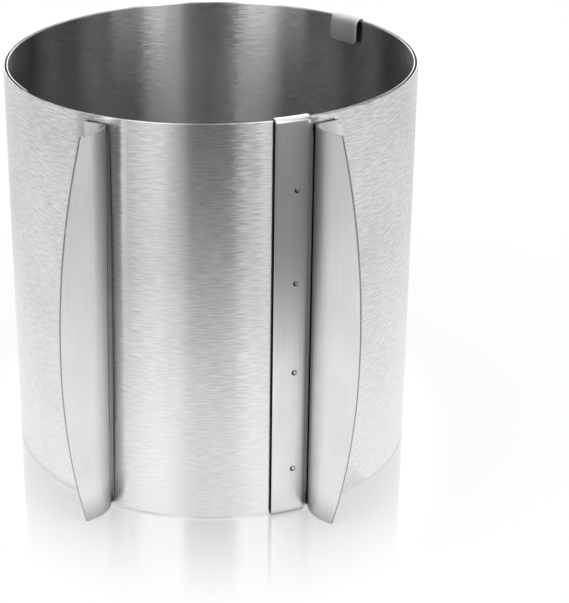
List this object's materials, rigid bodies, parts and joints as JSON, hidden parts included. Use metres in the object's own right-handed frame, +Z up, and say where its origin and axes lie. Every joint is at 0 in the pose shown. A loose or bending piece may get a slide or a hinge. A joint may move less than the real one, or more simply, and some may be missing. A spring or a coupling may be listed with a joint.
{
  "type": "adjustable cake ring",
  "caption": "Tall adjustable cake ring: a coiled springy steel strip that slides through a folded guide sleeve, with curved handles to squeeze it to the wanted diameter.",
  "frame": {"origin": "centre of the base of the whole ring with its handles, on the surface that it stands on", "axes": "+Z up along the ring's axis, -Y towards the handles, +X to the right when the handles face the viewer"},
  "size_m": [0.1746, 0.189, 0.175],
  "materials": {
    "strip": "stainless strip, fine brushed grain round the ring",
    "sheet": "satin stainless sheet",
    "rivet": "bright stainless"
  },
  "bodies": {
    "fixed_end": {"strip_01": "strip", "guide_sleeve": "sheet", "handle_right": "sheet", "sleeve_rivet_1": "rivet", "sleeve_rivet_2": "rivet", "sleeve_rivet_3": "rivet", "sleeve_rivet_4": "rivet", "right_foot_rivet_1": "rivet", "right_foot_rivet_2": "rivet", "right_foot_rivet_3": "rivet", "right_foot_rivet_4": "rivet"},
    "length_02": {"strip_02": "strip"},
    "length_03": {"strip_03": "strip"},
    "length_04": {"strip_04": "strip"},
    "length_05": {"strip_05": "strip"},
    "length_06": {"strip_06": "strip", "rim_hook_top": "sheet", "rim_hook_bottom": "sheet"},
    "length_07": {"strip_07": "strip"},
    "length_08": {"strip_08": "strip"},
    "length_09": {"strip_09": "strip"},
    "length_10": {"strip_10": "strip"},
    "length_11": {"strip_11": "strip"},
    "length_12": {"strip_12": "strip"},
    "length_13": {"strip_13": "strip"},
    "length_14": {"strip_14": "strip"},
    "length_15": {"strip_15": "strip", "handle_left": "sheet", "left_foot_rivet_1": "rivet", "left_foot_rivet_2": "rivet", "left_foot_rivet_3": "rivet", "left_foot_rivet_4": "rivet"},
    "length_16": {"strip_16": "strip"},
    "length_17": {"strip_17": "strip"},
    "length_18": {"strip_18": "strip"},
    "length_19": {"strip_19": "strip"},
    "length_20": {"strip_20": "strip"},
    "length_21": {"strip_21": "strip"},
    "length_22": {"strip_22": "strip"},
    "length_23": {"strip_23": "strip"},
    "length_24": {"strip_24": "strip"},
    "length_25": {"strip_25": "strip"},
    "length_26": {"strip_26": "strip"},
    "length_27": {"strip_27": "strip"},
    "length_28": {"strip_28": "strip"},
    "length_29": {"strip_29": "strip"},
    "length_30": {"strip_30": "strip"}
  },
  "joints": [
    {"name": "bend_02", "type": "hinge", "parent": "fixed_end", "child": "length_02", "pos_m": [0.05001, -0.06467, 0.0875], "axis": [0, 0, 1], "range_deg": [-8, 1.72]},
    {"name": "bend_03", "type": "hinge", "parent": "length_02", "child": "length_03", "pos_m": [0.07293, -0.04092, 0.0875], "axis": [0, 0, 1], "range_deg": [-9.09, 1.96]},
    {"name": "bend_04", "type": "hinge", "parent": "length_03", "child": "length_04", "pos_m": [0.08542, -0.01041, 0.0875], "axis": [0, 0, 1], "range_deg": [-9.1, 1.96]},
    {"name": "bend_05", "type": "hinge", "parent": "length_04", "child": "length_05", "pos_m": [0.08575, 0.02253, 0.0875], "axis": [0, 0, 1], "range_deg": [-9.1, 1.97]},
    {"name": "bend_06", "type": "hinge", "parent": "length_05", "child": "length_06", "pos_m": [0.07388, 0.05323, 0.0875], "axis": [0, 0, 1], "range_deg": [-9.11, 1.97]},
    {"name": "bend_07", "type": "hinge", "parent": "length_06", "child": "length_07", "pos_m": [0.05153, 0.07734, 0.0875], "axis": [0, 0, 1], "range_deg": [-9.12, 1.97]},
    {"name": "bend_08", "type": "hinge", "parent": "length_07", "child": "length_08", "pos_m": [0.02186, 0.09146, 0.0875], "axis": [0, 0, 1], "range_deg": [-9.12, 1.97]},
    {"name": "bend_09", "type": "hinge", "parent": "length_08", "child": "length_09", "pos_m": [-0.01089, 0.09362, 0.0875], "axis": [0, 0, 1], "range_deg": [-9.13, 1.97]},
    {"name": "bend_10", "type": "hinge", "parent": "length_09", "child": "length_10", "pos_m": [-0.04209, 0.08352, 0.0875], "axis": [0, 0, 1], "range_deg": [-9.13, 1.97]},
    {"name": "bend_11", "type": "hinge", "parent": "length_10", "child": "length_11", "pos_m": [-0.06732, 0.06262, 0.0875], "axis": [0, 0, 1], "range_deg": [-9.14, 1.97]},
    {"name": "bend_12", "type": "hinge", "parent": "length_11", "child": "length_12", "pos_m": [-0.08302, 0.0339, 0.0875], "axis": [0, 0, 1], "range_deg": [-9.14, 1.97]},
    {"name": "bend_13", "type": "hinge", "parent": "length_12", "child": "length_13", "pos_m": [-0.08698, 0.00143, 0.0875], "axis": [0, 0, 1], "range_deg": [-9.15, 1.98]},
    {"name": "bend_14", "type": "hinge", "parent": "length_13", "child": "length_14", "pos_m": [-0.07867, -0.03017, 0.0875], "axis": [0, 0, 1], "range_deg": [-9.15, 1.98]},
    {"name": "bend_15", "type": "hinge", "parent": "length_14", "child": "length_15", "pos_m": [-0.05928, -0.05643, 0.0875], "axis": [0, 0, 1], "range_deg": [-9.16, 1.98]},
    {"name": "bend_16", "type": "hinge", "parent": "length_15", "child": "length_16", "pos_m": [-0.03157, -0.07365, 0.0875], "axis": [0, 0, 1], "range_deg": [-9.16, 1.98]},
    {"name": "bend_17", "type": "hinge", "parent": "length_16", "child": "length_17", "pos_m": [0.0005, -0.07939, 0.0875], "axis": [0, 0, 1], "range_deg": [-9.17, 1.98]},
    {"name": "bend_18", "type": "hinge", "parent": "length_17", "child": "length_18", "pos_m": [0.0324, -0.07288, 0.0875], "axis": [0, 0, 1], "range_deg": [-9.18, 1.98]},
    {"name": "bend_19", "type": "hinge", "parent": "length_18", "child": "length_19", "pos_m": [0.05961, -0.05504, 0.0875], "axis": [0, 0, 1], "range_deg": [-9.18, 1.98]},
    {"name": "bend_20", "type": "hinge", "parent": "length_19", "child": "length_20", "pos_m": [0.07827, -0.02844, 0.0875], "axis": [0, 0, 1], "range_deg": [-9.19, 1.98]},
    {"name": "bend_21", "type": "hinge", "parent": "length_20", "child": "length_21", "pos_m": [0.08577, 0.00315, 0.0875], "axis": [0, 0, 1], "range_deg": [-9.19, 1.98]},
    {"name": "bend_22", "type": "hinge", "parent": "length_21", "child": "length_22", "pos_m": [0.08106, 0.03524, 0.0875], "axis": [0, 0, 1], "range_deg": [-9.2, 1.99]},
    {"name": "bend_23", "type": "hinge", "parent": "length_22", "child": "length_23", "pos_m": [0.06483, 0.0633, 0.0875], "axis": [0, 0, 1], "range_deg": [-9.2, 1.99]},
    {"name": "bend_24", "type": "hinge", "parent": "length_23", "child": "length_24", "pos_m": [0.0394, 0.08335, 0.0875], "axis": [0, 0, 1], "range_deg": [-9.21, 1.99]},
    {"name": "bend_25", "type": "hinge", "parent": "length_24", "child": "length_25", "pos_m": [0.00839, 0.09256, 0.0875], "axis": [0, 0, 1], "range_deg": [-9.21, 1.99]},
    {"name": "bend_26", "type": "hinge", "parent": "length_25", "child": "length_26", "pos_m": [-0.0238, 0.08966, 0.0875], "axis": [0, 0, 1], "range_deg": [-9.22, 1.99]},
    {"name": "bend_27", "type": "hinge", "parent": "length_26", "child": "length_27", "pos_m": [-0.05261, 0.07507, 0.0875], "axis": [0, 0, 1], "range_deg": [-9.23, 1.99]},
    {"name": "bend_28", "type": "hinge", "parent": "length_27", "child": "length_28", "pos_m": [-0.07396, 0.05089, 0.0875], "axis": [0, 0, 1], "range_deg": [-9.23, 1.99]},
    {"name": "bend_29", "type": "hinge", "parent": "length_28", "child": "length_29", "pos_m": [-0.08485, 0.02055, 0.0875], "axis": [0, 0, 1], "range_deg": [-9.24, 1.99]},
    {"name": "bend_30", "type": "hinge", "parent": "length_29", "child": "length_30", "pos_m": [-0.08375, -0.01163, 0.0875], "axis": [0, 0, 1], "range_deg": [-8.27, 1.79]}
  ],
  "couplings": [
    {"joint": "bend_03", "follows": "bend_02", "ratio": 1.1355},
    {"joint": "bend_04", "follows": "bend_02", "ratio": 1.1361},
    {"joint": "bend_05", "follows": "bend_02", "ratio": 1.1368},
    {"joint": "bend_06", "follows": "bend_02", "ratio": 1.1375},
    {"joint": "bend_07", "follows": "bend_02", "ratio": 1.1382},
    {"joint": "bend_08", "follows": "bend_02", "ratio": 1.1389},
    {"joint": "bend_09", "follows": "bend_02", "ratio": 1.1395},
    {"joint": "bend_10", "follows": "bend_02", "ratio": 1.1402},
    {"joint": "bend_11", "follows": "bend_02", "ratio": 1.1409},
    {"joint": "bend_12", "follows": "bend_02", "ratio": 1.1416},
    {"joint": "bend_13", "follows": "bend_02", "ratio": 1.1423},
    {"joint": "bend_14", "follows": "bend_02", "ratio": 1.143},
    {"joint": "bend_15", "follows": "bend_02", "ratio": 1.1437},
    {"joint": "bend_16", "follows": "bend_02", "ratio": 1.1443},
    {"joint": "bend_17", "follows": "bend_02", "ratio": 1.145},
    {"joint": "bend_18", "follows": "bend_02", "ratio": 1.1457},
    {"joint": "bend_19", "follows": "bend_02", "ratio": 1.1464},
    {"joint": "bend_20", "follows": "bend_02", "ratio": 1.1471},
    {"joint": "bend_21", "follows": "bend_02", "ratio": 1.1478},
    {"joint": "bend_22", "follows": "bend_02", "ratio": 1.1485},
    {"joint": "bend_23", "follows": "bend_02", "ratio": 1.1492},
    {"joint": "bend_24", "follows": "bend_02", "ratio": 1.1499},
    {"joint": "bend_25", "follows": "bend_02", "ratio": 1.1506},
    {"joint": "bend_26", "follows": "bend_02", "ratio": 1.1513},
    {"joint": "bend_27", "follows": "bend_02", "ratio": 1.152},
    {"joint": "bend_28", "follows": "bend_02", "ratio": 1.1527},
    {"joint": "bend_29", "follows": "bend_02", "ratio": 1.1534},
    {"joint": "bend_30", "follows": "bend_02", "ratio": 1.0326}
  ]
}
